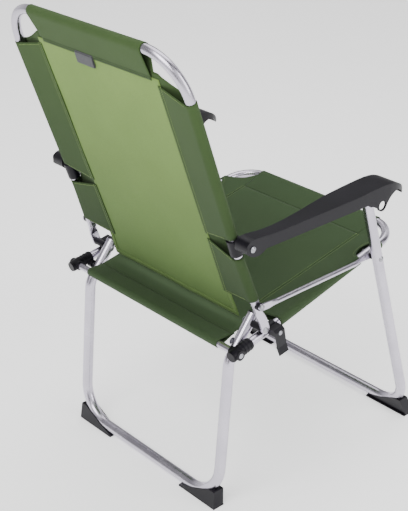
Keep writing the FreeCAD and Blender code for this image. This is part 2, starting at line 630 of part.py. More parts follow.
def back_sling():
    skin = sweep(back_path(BACK_ROUND_U), BACK_BENDS, SLING_R + CLEAR + SLEEVE)
    bore = sweep(back_path(BACK_ROUND_U - 5), BACK_BENDS, SLING_R + CLEAR)
    radius = SLING_R + CLEAR + SLEEVE
    pieces = []
    for start, end in ((BACK_SLEEVE_FROM, BACK_NOTCH[0]), (BACK_NOTCH[1], BACK_SLEEVE_TO)):
        pieces.append(slice_along(back_point, skin, start, end, -280, -180))
    flare = BACK_END_X - BACK_X
    low_x = BACK_X + flare * (BACK_KINK_U - BACK_SLEEVE_FROM) / (BACK_KINK_U - BACK_ROUND_U)
    pieces.append(hem_wedge(back_point, BACK_SLEEVE_FROM, BACK_NOTCH[0], BACK_SEAM_X, low_x, BACK_X, radius))
    pieces.append(hem_wedge(back_point, BACK_NOTCH[1], BACK_SLEEVE_TO, BACK_SEAM_X, BACK_X, BACK_X, radius))
    pieces += [mirror(piece) for piece in pieces]
    pieces.append(slice_along(back_point, skin, BACK_TOP_U - 25, BACK_TOP_U + 25, -BACK_BAND_X, BACK_BAND_X))
    pieces.append(band_wedge(back_point, BACK_BAND_X, BACK_TOP_U, BACK_TOP_U - BAND, radius))
    seam = BACK_SEAM_X + 4
    panel = slab(back_point, [(-185, BACK_PANEL_FROM), (185, BACK_PANEL_FROM), (seam + 12, 14), (seam, 30),
                              (seam, BACK_SLEEVE_TO), (BACK_BAND_X, BACK_TOP_U - BAND + 6),
                              (-BACK_BAND_X, BACK_TOP_U - BAND + 6), (-seam, BACK_SLEEVE_TO), (-seam, 30),
                              (-seam - 12, 14)], PANEL)
    bridge = slab(back_point, [(-205, BACK_NOTCH[0] - 2), (205, BACK_NOTCH[0] - 2),
                               (205, BACK_NOTCH[1] + 2), (-205, BACK_NOTCH[1] + 2)], PANEL * 2)
    sling = panel.fuse(pieces + [bridge])
    return sling.cut(bore)


SEAT_SLEEVE_FROM = seat_s(-166.0)
SEAT_SLEEVE_TO = seat_s(134.0)
SEAT_NOTCH = (-24.0, 30.0)
SEAT_BAND_X = 160.0
SEAT_REAR_HALF = 196.0


def seat_sling():
    radius = SLING_R + CLEAR + SLEEVE
    skin = sweep(seat_path(), SEAT_BENDS, radius)
    bore = sweep(seat_path(20), SEAT_BENDS, SLING_R + CLEAR)
    pieces = []
    for start, end in ((SEAT_SLEEVE_FROM, SEAT_NOTCH[0]), (SEAT_NOTCH[1], SEAT_SLEEVE_TO)):
        pieces.append(slice_along(seat_point, skin, start, end, -280, -180))
        pieces.append(hem_wedge(seat_point, start, end, SEAT_SEAM_X, seat_half_width(start),
                                seat_half_width(end), radius))
    pieces += [mirror(piece) for piece in pieces]
    s_front = seat_s(SEAT_FRONT_Y)
    s_cross = seat_s(CROSS_Y)
    pieces.append(slice_along(seat_point, skin, s_front - 25, s_front + 25, -SEAT_BAND_X, SEAT_BAND_X))
    pieces.append(band_wedge(seat_point, SEAT_BAND_X, s_front, s_front + BAND, radius))
    loop = cross_rod(-SEAT_REAR_HALF, SEAT_REAR_HALF, CROSS_AXIS, CROSS_R + CLEAR + SLEEVE)
    pieces.append(loop)
    pieces.append(band_wedge(seat_point, SEAT_REAR_HALF, s_cross, s_cross - 34, CROSS_R + CLEAR + SLEEVE))
    seam = SEAT_SEAM_X + 4
    half = SEAT_REAR_HALF
    panel = slab(seat_point, [(-half, s_cross), (-half, SEAT_SLEEVE_TO + 30), (-seam - 50, SEAT_SLEEVE_TO),
                              (-seam, SEAT_SLEEVE_TO - 20), (-seam, SEAT_SLEEVE_FROM),
                              (-SEAT_BAND_X, s_front + BAND - 6), (SEAT_BAND_X, s_front + BAND - 6),
                              (seam, SEAT_SLEEVE_FROM), (seam, SEAT_SLEEVE_TO - 20),
                              (seam + 50, SEAT_SLEEVE_TO), (half, SEAT_SLEEVE_TO + 30), (half, s_cross)], PANEL)
    bridge = slab(seat_point, [(-204, SEAT_NOTCH[0] - 2), (204, SEAT_NOTCH[0] - 2),
                               (204, SEAT_NOTCH[1] + 2), (-204, SEAT_NOTCH[1] + 2)], PANEL * 2)
    sling = panel.fuse(pieces + [bridge])
    sling = sling.cut(bore)
    return sling.cut(cross_rod(-300, 300, CROSS_AXIS, CROSS_R + CLEAR))


def back_label():
    """Plain webbing loop sewn under the top band, hanging on the rear face."""
    low = BACK_TOP_U - BAND - 22.0
    high = BACK_TOP_U - BAND - 1.0
    outline = [back_point(3, low, 1.2), back_point(3, high, 1.2), back_point(3, high, 3.4), back_point(3, low, 3.4)]
    return polygon_prism(outline, V(52, 0, 0))


# ---------------------------------------------------------------- write every node
def main():
    os.makedirs(PARTS, exist_ok=True)

    save("front_leg_frame", front_leg_frame())
    shoe = front_foot()
    save("front_foot_right", shoe)
    save("front_foot_left", mirror(shoe))
    save("seat_pivot_bolts", pair(seat_pivot_bolt()))
    save("front_link_spacers", pair(front_link_spacer()))
    save("armrest_front_rivets", pair(armrest_front_rivet()))

    link = side_link()
    save("side_link_right", link)
    save("side_link_left", mirror(link))

    save("backrest_frame", backrest_frame())
    save("link_spacers", pair(link_spacer()))
    save("link_rivets", pair(link_rivet()))
    save("leg_pivot_spacers", pair(leg_pivot_spacer()))
    save("leg_pivot_rivets", pair(leg_pivot_rivet()))
    clamp = armrest_clamp()
    save("armrest_clamp_right", clamp)
    save("armrest_clamp_left", mirror(clamp))
    save("back_sling", back_sling())
    save("back_label", back_label())

    save("rear_leg_frame", rear_leg_frame())
    shoe = rear_foot()
    save("rear_foot_right", shoe)
    save("rear_foot_left", mirror(shoe))
    save("rear_leg_plugs", pair(rear_leg_plug()))

    save("seat_frame", seat_frame())
    save("seat_pivot_nuts", pair(seat_pivot_nut()))
    save("rear_cross_tube", rear_cross_tube())
    fitting = rear_fitting()
    save("rear_fitting_right", fitting)
    save("rear_fitting_left", mirror(fitting))
    save("seat_leg_pins", pair(seat_leg_pin()))
    save("cross_tube_screws", pair(cross_tube_screw()))
    clip = transport_clip()
    save("transport_clip_right", clip)
    save("transport_clip_left", mirror(clip))
    save("clip_rivets", pair(clip_rivet()))
    save("seat_sling", seat_sling())

    arm = armrest()
    save("armrest_right", arm)
    save("armrest_left", mirror(arm))
    save("armrest_rear_rivets", pair(armrest_rear_rivet()))


main()
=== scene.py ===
import json
import math

import bmesh
import bpy
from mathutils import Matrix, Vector


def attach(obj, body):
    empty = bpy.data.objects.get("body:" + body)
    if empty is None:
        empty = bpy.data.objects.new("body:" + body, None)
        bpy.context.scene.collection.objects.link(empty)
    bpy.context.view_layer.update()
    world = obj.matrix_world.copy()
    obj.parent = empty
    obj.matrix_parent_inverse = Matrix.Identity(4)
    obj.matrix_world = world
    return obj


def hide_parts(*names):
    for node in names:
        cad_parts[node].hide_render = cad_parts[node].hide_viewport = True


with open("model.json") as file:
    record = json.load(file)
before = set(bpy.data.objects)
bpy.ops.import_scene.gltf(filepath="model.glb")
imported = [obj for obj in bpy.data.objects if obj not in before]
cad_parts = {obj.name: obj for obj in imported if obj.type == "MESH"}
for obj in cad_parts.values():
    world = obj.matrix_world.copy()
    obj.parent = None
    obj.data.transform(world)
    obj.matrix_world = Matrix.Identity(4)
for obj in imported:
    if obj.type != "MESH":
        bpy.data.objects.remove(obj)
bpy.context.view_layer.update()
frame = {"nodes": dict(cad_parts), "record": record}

bl_info = {
    "name": "Folding Camp Chair",
    "version": (1, 0, 0),
    "blender": (4, 5, 0),
    "location": "View3D > Sidebar > Camp Chair",
    "description": "Cloth, mouldings, metal finishes and studio for a folding camp chair",
    "category": "Object",
}

# Backrest: u runs up the leaning frame from the side link pivot, w is out of its rear face.
BACK_ORIGIN = Vector((0.0, 0.1507, 0.445))
BACK_LEAN = math.radians(19.3)
BACK_TUBE_X = 0.237
BACK_TOP_U = 0.521
BACK_FLARE_U = 0.095

# Seat: s runs backwards from the seat pivot, w is out of its upper face.
SEAT_ORIGIN = Vector((0.0, -0.1813, 0.430))
SEAT_SLOPE = math.atan(0.1926)
SEAT_FRONT_S = -0.0990
SEAT_CROSS_S = 0.3819

SEAM_X = 0.168          # side seams, either side of the middle
SLEEVE_R = 0.0101       # cloth round the 18 mm sling tubes
LOOP_R = 0.0080         # cloth round the 14 mm cross tube
LAYER = 0.0013          # one layer's distance from the seam plane
FLAP = 0.006            # turned edge past a side seam
BACK_FACING = 0.022     # the back's outer layer, past its side seams

BACK_HEM_U = -0.0610    # free lower edge of the back
BACK_BAND_U = 0.466     # seam of the top band
SEAT_BAND_S = -0.040    # seam of the front band
SEAT_LOOP_S = 0.349     # seam of the rear loop
SEAT_REAR_X = 0.1955    # half width of the seat behind its sleeves


def back_at(x, u, w=0.0):
    return BACK_ORIGIN + Vector((x, u * math.sin(BACK_LEAN) + w * math.cos(BACK_LEAN),
                                 u * math.cos(BACK_LEAN) - w * math.sin(BACK_LEAN)))


def seat_at(x, s, w=0.0):
    return SEAT_ORIGIN + Vector((x, s * math.cos(SEAT_SLOPE) + w * math.sin(SEAT_SLOPE),
                                 w * math.cos(SEAT_SLOPE) - s * math.sin(SEAT_SLOPE)))


def back_tube_x(u):
    return BACK_TUBE_X + 0.009 * max(0.0, BACK_FLARE_U - u) / 0.109


def seat_tube_x(s):
    return 0.220 + 0.022 * (s - SEAT_FRONT_S) / (SEAT_CROSS_S - SEAT_FRONT_S)


def lerp(a, b, t):
    return a + (b - a) * t


def knots(table, t):
    """Value of a smooth-stepped list of (position, value) at t."""
    if t <= table[0][0]:
        return table[0][1]
    for (t0, v0), (t1, v1) in zip(table, table[1:]):
        if t <= t1:
            k = (t - t0) / (t1 - t0)
            return lerp(v0, v1, k * k * (3 - 2 * k))
    return table[-1][1]


def noisy(x, y, seed=0.0):
    """Slow wander between about -1 and 1, for cloth that isn't quite even."""
    return (math.sin(x * 31 + seed) * math.sin(y * 23 + 1.7 * seed)
            + 0.5 * math.sin(x * 67 + y * 41 + 2.3 * seed)) / 1.5


# ---------------------------------------------------------------- materials
def tidy_tree(name):
    """A new material holding only its output and one Principled shader."""
    material = bpy.data.materials.new(name)
    material.use_nodes = True
    tree = material.node_tree
    tree.nodes.clear()
    out = tree.nodes.new("ShaderNodeOutputMaterial")
    shader = tree.nodes.new("ShaderNodeBsdfPrincipled")
    tree.links.new(shader.outputs["BSDF"], out.inputs["Surface"])
    return material, tree, shader


def add(tree, kind, **values):
    """A new shader node. Each value goes to the socket of that name, or else to the node."""
    node = tree.nodes.new(kind)
    for key, value in values.items():
        if key in node.inputs:
            node.inputs[key].default_value = value
        else:
            setattr(node, key, value)
    return node


def noise(tree, coords, scale, detail=4.0):
    node = add(tree, "ShaderNodeTexNoise", Scale=scale, Detail=detail, Roughness=0.55)
    tree.links.new(coords, node.inputs["Vector"])
    return node.outputs["Fac"]


def stretched(tree, coords, scale):
    node = add(tree, "ShaderNodeMapping")
    node.inputs["Scale"].default_value = scale
    tree.links.new(coords, node.inputs["Vector"])
    return node.outputs["Vector"]


def ramp(tree, fac, stops):
    node = add(tree, "ShaderNodeValToRGB")
    while len(node.color_ramp.elements) < len(stops):
        node.color_ramp.elements.new(0.5)
    for element, (at, colour) in zip(node.color_ramp.elements, stops):
        element.position = at
        rgb = colour if hasattr(colour, "__len__") else (colour, colour, colour)
        element.color = (*rgb, 1.0)
    tree.links.new(fac, node.inputs["Fac"])
    return node.outputs["Color"]


def multiplied(tree, a, b, amount=1.0):
    node = add(tree, "ShaderNodeMix", data_type="RGBA", blend_type="MULTIPLY")
    node.inputs["Factor"].default_value = amount
    tree.links.new(a, node.inputs["A"])
    tree.links.new(b, node.inputs["B"])
    return node.outputs["Result"]


def sums(tree, a, b, share):
    """a plus a share of b."""
    node = add(tree, "ShaderNodeMath", operation="MULTIPLY_ADD")
    tree.links.new(b, node.inputs[0])
    node.inputs[1].default_value = share
    tree.links.new(a, node.inputs[2])
    return node.outputs[0]


def relief(tree, shader, height, strength, distance):
    node = add(tree, "ShaderNodeBump", Strength=strength, Distance=distance)
    tree.links.new(height, node.inputs["Height"])
    tree.links.new(node.outputs["Normal"], shader.inputs["Normal"])


def metal(name, light, dark, rough_low, rough_high, grain):
    """Satin metal with a faint drawn grain and small differences in sheen."""
    material, tree, shader = tidy_tree(name)
    coords = add(tree, "ShaderNodeTexCoord").outputs["Object"]
    blotch = noise(tree, coords, 14.0)
    lines = noise(tree, stretched(tree, coords, (grain, 60.0, 60.0)), 22.0, 3.0)
    tree.links.new(ramp(tree, blotch, [(0.3, dark), (0.7, light)]), shader.inputs["Base Color"])
    both = sums(tree, blotch, lines, 0.6)
    sheen = ramp(tree, both, [(0.35, rough_low), (1.1 / 1.2, rough_high)])
    tree.links.new(sheen, shader.inputs["Roughness"])
    relief(tree, shader, lines, 0.08, 0.0004)
    shader.inputs["Metallic"].default_value = 1.0
    return material


def plastic(name, light, dark):
    """Black moulded plastic with a fine spark texture."""
    material, tree, shader = tidy_tree(name)
    coords = add(tree, "ShaderNodeTexCoord").outputs["Object"]
    slow = noise(tree, coords, 9.0)
    fine = noise(tree, coords, 900.0, 2.0)
    tree.links.new(ramp(tree, slow, [(0.3, dark), (0.7, light)]), shader.inputs["Base Color"])
    tree.links.new(ramp(tree, sums(tree, slow, fine, 0.5), [(0.4, 0.30), (0.95, 0.42)]),
                   shader.inputs["Roughness"])
    relief(tree, shader, fine, 0.25, 0.0003)
    shader.inputs["Specular IOR Level"].default_value = 0.20
    return material


def cloth(name, low, high, z_low, z_high, thread_mm=1.6, sheen=0.04):
    """Plain-woven cloth. Its colour runs from low to high between two heights, a painted gradient
    of light.
    """
    material, tree, shader = tidy_tree(name)
    flat = add(tree, "ShaderNodeUVMap", uv_map="flat").outputs["UV"]
    coords = add(tree, "ShaderNodeTexCoord").outputs["Object"]
    split = add(tree, "ShaderNodeSeparateXYZ")
    tree.links.new(coords, split.inputs[0])
    # Painted light: a colour ramp by height makes the cloth lighter towards the top.
    level = add(tree, "ShaderNodeMapRange")
    level.inputs["From Min"].default_value = z_low
    level.inputs["From Max"].default_value = z_high
    tree.links.new(split.outputs["Z"], level.inputs["Value"])
    run = ramp(tree, level.outputs["Result"], [(0.0, low), (1.0, high)])
    pitch = 2 * math.pi / (20 * thread_mm / 1000)
    threads = []
    for direction in ("X", "Y"):
        wave = add(tree, "ShaderNodeTexWave", bands_direction=direction, Scale=pitch,
                   Distortion=0.6)
        wave.inputs["Detail Scale"].default_value = 2.0
        tree.links.new(flat, wave.inputs["Vector"])
        threads.append(wave.outputs["Fac"])
    weave = add(tree, "ShaderNodeMath", operation="MAXIMUM")
    tree.links.new(threads[0], weave.inputs[0])
    tree.links.new(threads[1], weave.inputs[1])
    shade = ramp(tree, weave.outputs[0], [(0.2, 0.80), (1.0, 1.0)])
    uneven = noise(tree, stretched(tree, flat, (40.0, 260.0, 1.0)), 3.0)
    slub = ramp(tree, uneven, [(0.3, 0.90), (0.7, 1.06)])
    patchy = ramp(tree, noise(tree, flat, 9.0), [(0.3, 0.93), (0.72, 1.04)])
    colour = multiplied(tree, run, shade)
    colour = multiplied(tree, colour, slub, 0.8)
    colour = multiplied(tree, colour, patchy)
    tree.links.new(colour, shader.inputs["Base Color"])
    tree.links.new(ramp(tree, weave.outputs[0], [(0.0, 0.92), (1.0, 0.74)]),
                   shader.inputs["Roughness"])
    soft = noise(tree, flat, 16.0, 2.0)
    relief(tree, shader, sums(tree, weave.outputs[0], soft, 6.0), 0.35, 0.0005)
    shader.inputs["Specular IOR Level"].default_value = 0.12
    shader.inputs["Sheen Weight"].default_value = sheen
    shader.inputs["Sheen Roughness"].default_value = 0.6
    return material


def thread(name, light, dark):
    """Sewing thread with a fibrous surface."""
    material, tree, shader = tidy_tree(name)
    coords = add(tree, "ShaderNodeTexCoord").outputs["Object"]
    fibres = noise(tree, coords, 700.0, 2.0)
    tree.links.new(ramp(tree, fibres, [(0.3, dark), (0.7, light)]), shader.inputs["Base Color"])
    tree.links.new(ramp(tree, fibres, [(0.3, 0.6), (0.7, 0.8)]), shader.inputs["Roughness"])
    relief(tree, shader, fibres, 0.3, 0.0002)
    return material


FINISHES = {
    "aluminium": (metal, (0.60, 0.57, 0.65), (0.50, 0.47, 0.55), 0.18, 0.28, 3.0),
    "rivet": (metal, (0.42, 0.42, 0.45), (0.30, 0.30, 0.33), 0.26, 0.42, 40.0),
    "plastic": (plastic, (0.0075, 0.0065, 0.010), (0.004, 0.0035, 0.006)),
    # back_cloth holds painted light: much lighter than the seat cloth, as if lit through, and
    # lighter towards the top.
    "back_cloth": (cloth, (0.088, 0.150, 0.040), (0.195, 0.310, 0.080), 0.42, 0.88),
    # The back's sleeves and top band: painted shade, a darker copy of the back cloth for cloth
    # turned away from the light.
    "back_hem_cloth": (cloth, (0.027, 0.050, 0.016), (0.050, 0.090, 0.027), 0.42, 0.9),
    "seat_cloth": (cloth, (0.041, 0.070, 0.029), (0.046, 0.078, 0.033), 0.34, 0.46),
    "webbing": (cloth, (0.075, 0.076, 0.084), (0.085, 0.086, 0.094), 0.86, 0.88, 1.0, 0.1),
    "thread_light": (thread, (0.20, 0.30, 0.085), (0.12, 0.19, 0.05)),
    "thread_dark": (thread, (0.022, 0.036, 0.012), (0.012, 0.020, 0.007)),
}
MADE = {}


def material(name):
    """Each finish is made once, the first time it is asked for."""
    if name not in MADE:
        make, *values = FINISHES[name]
        MADE[name] = make(name, *values)
    return MADE[name]


# ---------------------------------------------------------------- shared making
def finished(name, bm, finish, body, smooth=35.0):
    """Turns a bmesh into a piece with its finish and body. smooth is in degrees."""
    mesh = bpy.data.meshes.new(name)
    bm.to_mesh(mesh)
    bm.free()
    piece = bpy.data.objects.new(name, mesh)
    bpy.context.scene.collection.objects.link(piece)
    mesh.materials.append(material(finish))
    mesh.shade_smooth()
    mesh.set_sharp_from_angle(angle=math.radians(smooth))
    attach(piece, body)
    return piece


def cloth_patch(name, columns, rows, place, finish, body, thickness, keep=None):
    """One cut of cloth. place(a, b) gives the point and its flat position, a and b from 0 to 1."""
    bm = bmesh.new()
    bmesh.ops.create_grid(bm, x_segments=columns, y_segments=rows, size=0.5)
    spots = {}
    for vert in bm.verts:
        spots[vert] = (vert.co.x + 0.5, vert.co.y + 0.5)
    if keep:
        gone = [f for f in bm.faces if not keep(sum(spots[v][0] for v in f.verts) / 4,
                                                sum(spots[v][1] for v in f.verts) / 4)]
        bmesh.ops.delete(bm, geom=gone, context="FACES")
    flats = {}
    for vert in bm.verts:
        vert.co, flats[vert] = place(*spots[vert])
    uv = bm.loops.layers.uv.new("flat")
    for face in bm.faces:
        for loop in face.loops:
            loop[uv].uv = flats[loop.vert]
    bmesh.ops.remove_doubles(bm, verts=bm.verts[:], dist=0.00001)
    bmesh.ops.recalc_face_normals(bm, faces=bm.faces[:])
    bm.normal_update()
    area = sum(face.calc_area() for face in bm.faces)
    piece = finished(name, bm, finish, body, 60.0)
    thick = piece.modifiers.new("cloth thickness", "SOLIDIFY")
    thick.thickness = thickness
    thick.offset = 0.0
    return piece


def stitches(name, lines, finish, body, width=0.0008, height=0.0005):
    """Short raised thread ends along each line. A line is (points, outward direction)."""
    length, gap = 0.0027, 0.0015
    bm = bmesh.new()
    for points, out in lines:
        out = out.normalized()
        travel, start = 0.0, 0.0
        cuts = []
        for a, b in zip(points, points[1:]):
            span = (b - a).length
            while start <= travel + span and span > 0:
                share = (start - travel) / span
                cuts.append((a + (b - a) * share, (b - a).normalized()))
                start += length + gap
            travel += span
        for at, along in cuts:
            side = along.cross(out).normalized() * (width / 2)
            step, lift = along * length, out * height
            ring = []
            for k, up in ((0.0, 0.0), (0.25, 1.0), (0.75, 1.0), (1.0, 0.0)):
                ring.append((bm.verts.new(at + step * k - side + lift * up),
                             bm.verts.new(at + step * k + side + lift * up)))
            for (p, q), (r, s) in zip(ring, ring[1:]):
                bm.faces.new((p, q, s, r))
            bm.faces.new([pair[0] for pair in ring])
            bm.faces.new([pair[1] for pair in reversed(ring)])
            bm.faces.new((ring[0][0], ring[3][0], ring[3][1], ring[0][1]))
    bmesh.ops.recalc_face_normals(bm, faces=bm.faces[:])
    return finished(name, bm, finish, body)


def moulded(node, body, edge):
    """A moulding's looks: the solid with its edges rounded as a mould leaves them."""
    bm = bmesh.new()
    bm.from_mesh(frame["nodes"][node].data)
    bmesh.ops.remove_doubles(bm, verts=bm.verts[:], dist=0.00002)
    bmesh.ops.dissolve_degenerate(bm, edges=bm.edges[:], dist=0.00002)
    bmesh.ops.dissolve_limit(bm, angle_limit=math.radians(2.0), verts=bm.verts[:],
                             edges=bm.edges[:])
    bmesh.ops.recalc_face_normals(bm, faces=bm.faces[:])
    piece = finished(node + "_moulding", bm, "plastic", body, 40.0)
    bevel = piece.modifiers.new("mould radius", "BEVEL")
    bevel.width = edge
    bevel.segments = 2
    bevel.limit_method = "ANGLE"
    bevel.angle_limit = math.radians(42.0)
    bevel.use_clamp_overlap = True
    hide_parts(node)
    return piece


def wrap_profile(seam, tube, radius, overlap, lift, facing=None):
    """Cloth round a tube: from the flap, over the tube, back to the other face of the seam."""
    facing = overlap if facing is None else facing
    turn = math.pi - math.acos(radius / abs(tube - seam))
    way = 1.0 if tube > seam else -1.0
    points = [(seam - way * overlap, lift), (seam, lift)]
    for i in range(17):
        angle = turn * (1 - i / 8)
        points.append((tube + way * radius * math.cos(angle), radius * math.sin(angle)))
    return points + [(seam, -lift), (seam - way * facing, -lift)]


def walk(points, t):
    """Point and distance at share t of a polyline's length."""
    lengths = [math.dist(p, q) for p, q in zip(points, points[1:])]
    left = travelled = t * sum(lengths)
    for (p, q), span in zip(zip(points, points[1:]), lengths):
        if left <= span or (p, q) == (points[-2], points[-1]):
            k = min(1.0, left / span) if span else 1.0
            return (lerp(p[0], q[0], k), lerp(p[1], q[1], k)), travelled
        left -= span
    return points[-1], travelled


# ---------------------------------------------------------------- back sling
def scallop(reach, start):
    """Half height of a rounded cut, as a share of its height at the tube."""
    return math.sqrt(max(0.0, 1.0 - min(1.0, (1.0 - reach) / (1.0 - start)) ** 2))


def raised(along, seam, tube):
    """Height of a band's outer layer on its way from its seam to its tube."""
    return 0.0014 + 0.0087 * min(1.0, max(0.0, (along - seam) / (tube - seam)))


def back_sleeve_edges(reach, flap):
    """Lower end, notch and upper end of a back sleeve, where reach runs from seam to tube."""
    if flap:
        return (lerp(-0.003, 0.013, reach), lerp(0.125, 0.113, reach),
                lerp(0.138, 0.158, reach), lerp(0.452, 0.440, reach))
    cut = 0.0225 * scallop(reach, 0.82)
    return (lerp(-0.003, 0.013, reach), 0.1355 - cut, 0.1355 + cut,
            0.440 + 0.035 * (1 - reach) ** 1.3)


def sleeve_place(side, edges, tube_at, point_at, flap_sign, facing, a, b, rows_at, band):
    """Places one point of a side sleeve. b passes the lower end, the notch and the upper end."""
    nominal = wrap_profile(SEAM_X, BACK_TUBE_X, SLEEVE_R, FLAP, LAYER, facing)
    (x, _), _ = walk(nominal, a)
    reach = min(1.0, max(0.0, (x - SEAM_X) / (BACK_TUBE_X - SEAM_X)))
    stops = edges(reach, a < 0.5)
    for (b0, b1), (e0, e1) in zip(zip(rows_at, rows_at[1:]), zip(stops, stops[1:])):
        if b <= b1 + 1e-9:
            along = lerp(e0, e1, (b - b0) / (b1 - b0))
            break
    actual = wrap_profile(SEAM_X, tube_at(along), SLEEVE_R, FLAP, LAYER, facing)
    (x, w), across = walk(actual, a)
    loose = 0.0005 * noisy(across * 0.6, along * 0.5, side) * math.sin(math.pi * min(1.0, reach))
    if a > 0.5 and abs(x) < tube_at(along):
        w = -max(-w, raised(along, *band))
    return point_at(side * x, along, flap_sign * (w + loose)), (across, along)


BACK_ROWS = (0.0, 0.25, 0.35, 1.0)


def back_sleeve(side, name, size):
    def place(a, b):
        return sleeve_place(side, back_sleeve_edges, back_tube_x, back_at, 1.0, BACK_FACING,
                            a, b, BACK_ROWS, (BACK_BAND_U, BACK_TOP_U))

    def keep(a, b):
        return not BACK_ROWS[1] < b < BACK_ROWS[2]

    # The sleeves get the darker copy of the back cloth, with painted shade.
    return cloth_patch(name, 60, 80, place, "back_hem_cloth", "back_frame", size,
                       keep)


def back_panel_half(u):
    return knots([(-0.060, 0.1835), (-0.004, 0.1800), (0.004, 0.1690), (0.02, 0.1680)], u)


def make_back_sling(size):
    def panel(a, b):
        u = lerp(BACK_HEM_U, 0.4640, b)
        half = back_panel_half(u)
        x = lerp(-half, half, a)
        sag = 0.0016 * (1 - (x / 0.185) ** 2) * math.sin(math.pi * b)
        dip = 0.0006 * noisy(x, u) - sag
        return back_at(x, u, dip), (x, u)

    main = cloth_patch("back_panel", 60, 90, panel, "back_cloth", "back_frame",
                       size)
    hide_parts("back_sling")
    back_sleeve(-1.0, "back_sleeve_right", size)
    back_sleeve(1.0, "back_sleeve_left", size)

    profile = wrap_profile(BACK_BAND_U, BACK_TOP_U, SLEEVE_R, 0.007, LAYER)

    def band(a, b):
        (u, w), along = walk(profile, b)
        rise = min(1.0, (u - 0.459) / (BACK_TOP_U - 0.459))
        half = lerp(0.150, 0.157, rise) if b < 0.5 else 0.157
        x = lerp(-half, half, a)
        loose = 0.0005 * noisy(x * 1.3, along) * math.sin(math.pi * max(0.0, rise))
        return back_at(x, u, w + loose), (x, along)

    # The top band gets the darker copy of the back cloth, with painted shade.
    cloth_patch("back_top_band", 60, 44, band, "back_hem_cloth", "back_frame",
                size)

    def bottom_hem(a, b):
        u = lerp(BACK_HEM_U, -0.0485, b)
        half = back_panel_half(u) - 0.0002
        x = lerp(-half, half, a)
        return back_at(x, u, 0.0011 + 0.0006 * noisy(x, u)), (x, u)

    cloth_patch("back_bottom_hem", 60, 4, bottom_hem, "back_cloth", "back_frame",
                size)
    out = back_at(0, 0, 1) - back_at(0, 0, 0)
    for side, word in ((-1.0, "right"), (1.0, "left")):
        def side_hem(a, b):
            u = lerp(-0.048, -0.002, b)
            half = back_panel_half(u)
            x = side * lerp(half - 0.010, half, a)
            return back_at(x, u, 0.0011), (x, u)

        cloth_patch("back_side_hem_" + word, 3, 16, side_hem, "back_cloth", "back_frame",
                    size)

    pale, dark = [], []
    for side in (-1.0, 1.0):
        for x in (0.1640, 0.1700):
            for start, end in ((0.000, 0.124), (0.139, 0.451)):
                lift = 0.0019 if x < SEAM_X else 0.0021
                pale.append(([back_at(side * x, lerp(start, end, i / 20), lift)
                              for i in range(21)], out))
        pale.append(([back_at(side * (back_panel_half(u) - 0.007), u, 0.0016)
                      for u in (-0.048, -0.036, -0.024, -0.012, -0.004)], out))
        for index, inset in ((0, 0.004), (1, -0.004), (2, 0.004), (3, -0.004)):
            points = []
            for i in range(16):
                reach = lerp(0.02, 0.86, i / 15)
                u = back_sleeve_edges(reach, True)[index] + inset
                x = lerp(SEAM_X, back_tube_x(u), reach)
                points.append(back_at(side * x, u, 0.0020 + 0.0090 * reach))
            pale.append((points, out))
    for u in (0.4625, 0.4668):
        dark.append(([back_at(lerp(-0.149, 0.149, i / 30), u, 0.0020) for i in range(31)], out))
    pale.append(([back_at(lerp(-0.180, 0.180, i / 30), -0.0505, 0.0016) for i in range(31)],
                 out))
    stitches("back_stitching", pale, "thread_light", "back_frame")
    stitches("back_band_stitching", dark, "thread_dark", "back_frame")


def make_back_label(size):
    """A plain tape folded double and caught under the band seam."""
    path = [(0.466, 0.0020), (0.4445, 0.0024), (0.4425, 0.0028), (0.4418, 0.0036),
            (0.4425, 0.0044), (0.4445, 0.0048), (0.4590, 0.0044), (0.4640, 0.0034)]

    def tape(a, b):
        (u, w), along = walk(path, b)
        x = lerp(0.0045, 0.0535, a)
        return back_at(x, u, w + 0.0004 * noisy(x * 3, u * 2)), (x, along)

    label = cloth_patch("back_label_tape", 20, 28, tape, "webbing", "back_frame",
                        size)
    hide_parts("back_label")


# ---------------------------------------------------------------- seat sling
def seat_sleeve_edges(reach, flap):
    front = lerp(-0.045, -0.038, reach) if flap else -0.038 - 0.047 * (1 - reach) ** 1.5
    cut = 0.0270 * scallop(reach, 0.74)
    return front, 0.003 - cut, 0.003 + cut, lerp(0.2740, 0.2678, reach)


SEAT_ROWS = (0.0, 0.20, 0.25, 1.0)


